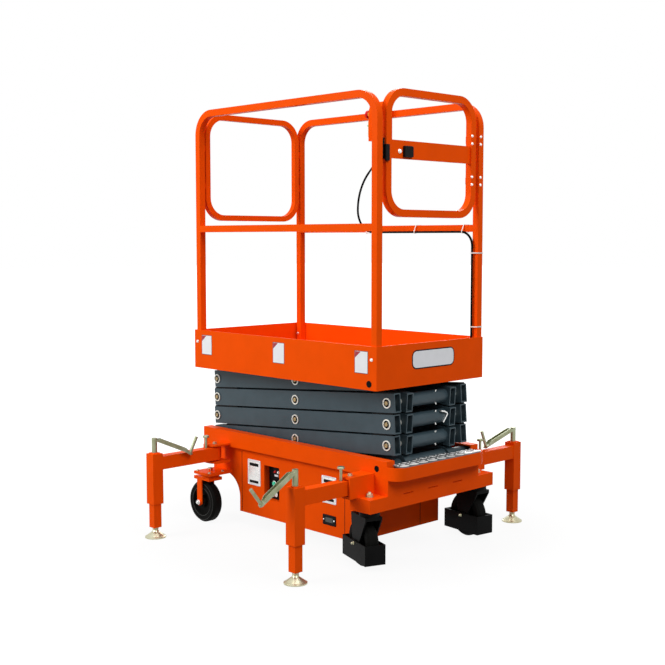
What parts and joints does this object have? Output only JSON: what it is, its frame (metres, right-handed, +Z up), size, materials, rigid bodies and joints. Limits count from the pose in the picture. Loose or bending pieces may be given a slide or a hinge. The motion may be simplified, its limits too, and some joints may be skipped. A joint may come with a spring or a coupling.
{
  "type": "aerial work platform",
  "caption": "Push-around scissor lift with guard-railed work platform, swing-out screw outriggers, caster base and a gate at the entry end.",
  "frame": {"origin": "on the floor under the middle of the whole machine's box", "axes": "+X towards the gate end, +Y to the machine's left, +Z up"},
  "size_m": [1.245, 1.7474, 1.924],
  "materials": {
    "orange_paint": "gloss",
    "arm_paint": "satin",
    "zinc_steel": "satin",
    "tyre": "matte",
    "tread": "satin",
    "black_paint": "satin",
    "black_plastic": "matte",
    "chrome_rod": "polished"
  },
  "bodies": {
    "base": {"base_rails": "orange_paint", "front_frame": "orange_paint", "rear_frame": "orange_paint", "outrigger_brackets": "orange_paint", "step_plate": "tread", "cabinet": "orange_paint", "cabinet_door_r": "orange_paint", "cabinet_door_l": "orange_paint", "panel_housing": "orange_paint", "control_panel": "black_plastic", "power_pack": "black_paint", "base_pins": "arm_paint"},
    "swivel_fr": {"front_fork_r": "black_paint"},
    "swivel_fl": {"front_fork_l": "black_paint"},
    "swivel_rr": {"rear_fork_r": "orange_paint"},
    "swivel_rl": {"rear_fork_l": "orange_paint"},
    "wheel_fr": {"front_wheel_r": "tyre"},
    "wheel_fl": {"front_wheel_l": "tyre"},
    "wheel_rr": {"rear_wheel_r": "tyre"},
    "wheel_rl": {"rear_wheel_l": "tyre"},
    "lift_cylinder": {"lift_barrel": "black_paint"},
    "lift_piston": {"lift_rod": "chrome_rod"},
    "platform": {"platform_tray": "orange_paint", "guard_rail_r": "orange_paint", "guard_rail_l": "orange_paint", "rear_panel": "orange_paint", "control_box": "orange_paint", "control_cable": "black_plastic", "gate_hinges": "black_paint"},
    "gate": {"gate_frame": "orange_paint"},
    "inner_1": {"inner_arms_1": "arm_paint"},
    "outer_1": {"outer_arms_1": "arm_paint", "pins_1": "zinc_steel", "base_rollers": "zinc_steel"},
    "inner_2": {"inner_arms_2": "arm_paint"},
    "outer_2": {"outer_arms_2": "arm_paint", "pins_2": "zinc_steel"},
    "inner_3": {"inner_arms_3": "arm_paint"},
    "outer_3": {"outer_arms_3": "arm_paint", "pins_3": "zinc_steel"},
    "inner_4": {"inner_arms_4": "arm_paint", "deck_rollers": "zinc_steel"},
    "outer_4": {"outer_arms_4": "arm_paint", "pins_4": "zinc_steel"},
    "outrigger_arm_fr": {"outrigger_fr": "orange_paint", "crank_fr": "zinc_steel"},
    "outrigger_leg_fr": {"leg_fr": "orange_paint", "foot_fr": "zinc_steel"},
    "outrigger_arm_fl": {"outrigger_fl": "orange_paint", "crank_fl": "zinc_steel"},
    "outrigger_leg_fl": {"leg_fl": "orange_paint", "foot_fl": "zinc_steel"},
    "outrigger_arm_rr": {"outrigger_rr": "orange_paint", "crank_rr": "zinc_steel"},
    "outrigger_leg_rr": {"leg_rr": "orange_paint", "foot_rr": "zinc_steel"},
    "outrigger_arm_rl": {"outrigger_rl": "orange_paint", "crank_rl": "zinc_steel"},
    "outrigger_leg_rl": {"leg_rl": "orange_paint", "foot_rl": "zinc_steel"}
  },
  "joints": [
    {"name": "scissor_lift", "type": "hinge", "parent": "base", "child": "inner_1", "pos_m": [0.5115, 0, 0.392], "axis": [0, 1, 0], "range_deg": [0, 48.51]},
    {"name": "cross_1", "type": "hinge", "parent": "inner_1", "child": "outer_1", "pos_m": [-0.0358, 0, 0.435], "axis": [0, 1, 0], "range_deg": [-97.03, 0]},
    {"name": "link_1", "type": "hinge", "parent": "outer_1", "child": "inner_2", "pos_m": [0.5115, 0, 0.478], "axis": [0, 1, 0], "range_deg": [0, 97.03]},
    {"name": "cross_2", "type": "hinge", "parent": "inner_2", "child": "outer_2", "pos_m": [-0.0358, 0, 0.521], "axis": [0, 1, 0], "range_deg": [-97.03, 0]},
    {"name": "link_2", "type": "hinge", "parent": "outer_2", "child": "inner_3", "pos_m": [0.5115, 0, 0.564], "axis": [0, 1, 0], "range_deg": [0, 97.03]},
    {"name": "cross_3", "type": "hinge", "parent": "inner_3", "child": "outer_3", "pos_m": [-0.0358, 0, 0.607], "axis": [0, 1, 0], "range_deg": [-97.03, 0]},
    {"name": "link_3", "type": "hinge", "parent": "outer_3", "child": "inner_4", "pos_m": [0.5115, 0, 0.65], "axis": [0, 1, 0], "range_deg": [0, 97.03]},
    {"name": "cross_4", "type": "hinge", "parent": "inner_4", "child": "outer_4", "pos_m": [-0.0358, 0, 0.693], "axis": [0, 1, 0], "range_deg": [-97.03, 0]},
    {"name": "platform_level", "type": "hinge", "parent": "outer_4", "child": "platform", "pos_m": [0.5115, 0, 0.736], "axis": [0, 1, 0], "range_deg": [0, 48.52]},
    {"name": "cylinder_swing", "type": "hinge", "parent": "inner_3", "child": "lift_cylinder", "pos_m": [0.42776, 0, 0.57058], "axis": [0, 1, 0], "range_deg": [-104.73, 0]},
    {"name": "cylinder_stroke", "type": "slide", "parent": "lift_cylinder", "child": "lift_piston", "axis": [-0.9934, 0, -0.1143], "range_m": [0, 0.2784]},
    {"name": "gate_swing", "type": "hinge", "parent": "platform", "child": "gate", "pos_m": [0.5105, 0.286, 1.635], "axis": [0, 0, 1], "range_deg": [-80, 0]},
    {"name": "caster_fr_swivel", "type": "hinge", "parent": "base", "child": "swivel_fr", "pos_m": [0.5225, -0.337, 0.22], "axis": [0, 0, 1], "continuous": true},
    {"name": "caster_fr_roll", "type": "hinge", "parent": "swivel_fr", "child": "wheel_fr", "pos_m": [0.47364, -0.31922, 0.095], "axis": [0.342, 0.9397, 0], "continuous": true},
    {"name": "caster_fl_swivel", "type": "hinge", "parent": "base", "child": "swivel_fl", "pos_m": [0.5225, 0.337, 0.22], "axis": [0, 0, 1], "continuous": true},
    {"name": "caster_fl_roll", "type": "hinge", "parent": "swivel_fl", "child": "wheel_fl", "pos_m": [0.47101, 0.34424, 0.095], "axis": [0.1392, 0.9903, 0], "continuous": true},
    {"name": "caster_rr_swivel", "type": "hinge", "parent": "base", "child": "swivel_rr", "pos_m": [-0.4925, -0.344, 0.22], "axis": [0, 0, 1], "continuous": true},
    {"name": "caster_rr_roll", "type": "hinge", "parent": "swivel_rr", "child": "wheel_rr", "pos_m": [-0.5275, -0.344, 0.095], "axis": [0, 1, 0], "continuous": true},
    {"name": "caster_rl_swivel", "type": "hinge", "parent": "base", "child": "swivel_rl", "pos_m": [-0.4925, 0.344, 0.22], "axis": [0, 0, 1], "continuous": true},
    {"name": "caster_rl_roll", "type": "hinge", "parent": "swivel_rl", "child": "wheel_rl", "pos_m": [-0.5275, 0.344, 0.095], "axis": [0, 1, 0], "continuous": true},
    {"name": "outrigger_fr_swing", "type": "hinge", "parent": "base", "child": "outrigger_arm_fr", "pos_m": [0.4615, -0.385, 0.329], "axis": [0, 0, 1], "range_deg": [-90, 0]},
    {"name": "outrigger_fr_jack", "type": "slide", "parent": "outrigger_arm_fr", "child": "outrigger_leg_fr", "axis": [0, 0, 1], "range_m": [-0.08, 0.09]},
    {"name": "outrigger_fl_swing", "type": "hinge", "parent": "base", "child": "outrigger_arm_fl", "pos_m": [0.4615, 0.385, 0.329], "axis": [0, 0, 1], "range_deg": [0, 90]},
    {"name": "outrigger_fl_jack", "type": "slide", "parent": "outrigger_arm_fl", "child": "outrigger_leg_fl", "axis": [0, 0, 1], "range_m": [-0.08, 0.09]},
    {"name": "outrigger_rr_swing", "type": "hinge", "parent": "base", "child": "outrigger_arm_rr", "pos_m": [-0.4555, -0.345, 0.329], "axis": [0, 0, 1], "range_deg": [0, 90]},
    {"name": "outrigger_rr_jack", "type": "slide", "parent": "outrigger_arm_rr", "child": "outrigger_leg_rr", "axis": [0, 0, 1], "range_m": [-0.08, 0.09]},
    {"name": "outrigger_rl_swing", "type": "hinge", "parent": "base", "child": "outrigger_arm_rl", "pos_m": [-0.4555, 0.345, 0.329], "axis": [0, 0, 1], "range_deg": [-90, 0]},
    {"name": "outrigger_rl_jack", "type": "slide", "parent": "outrigger_arm_rl", "child": "outrigger_leg_rl", "axis": [0, 0, 1], "range_m": [-0.08, 0.09]}
  ],
  "couplings": [
    {"joint": "cross_1", "follows": "scissor_lift", "ratio": -2},
    {"joint": "link_1", "follows": "scissor_lift", "ratio": 2},
    {"joint": "cross_2", "follows": "scissor_lift", "ratio": -2},
    {"joint": "link_2", "follows": "scissor_lift", "ratio": 2},
    {"joint": "cross_3", "follows": "scissor_lift", "ratio": -2},
    {"joint": "link_3", "follows": "scissor_lift", "ratio": 2},
    {"joint": "cross_4", "follows": "scissor_lift", "ratio": -2},
    {"joint": "platform_level", "follows": "scissor_lift", "ratio": 1},
    {"joint": "cylinder_swing", "follows": "scissor_lift", "ratio": -2.1588},
    {"joint": "cylinder_stroke", "follows": "scissor_lift", "m_per_rad": 0.3283}
  ]
}
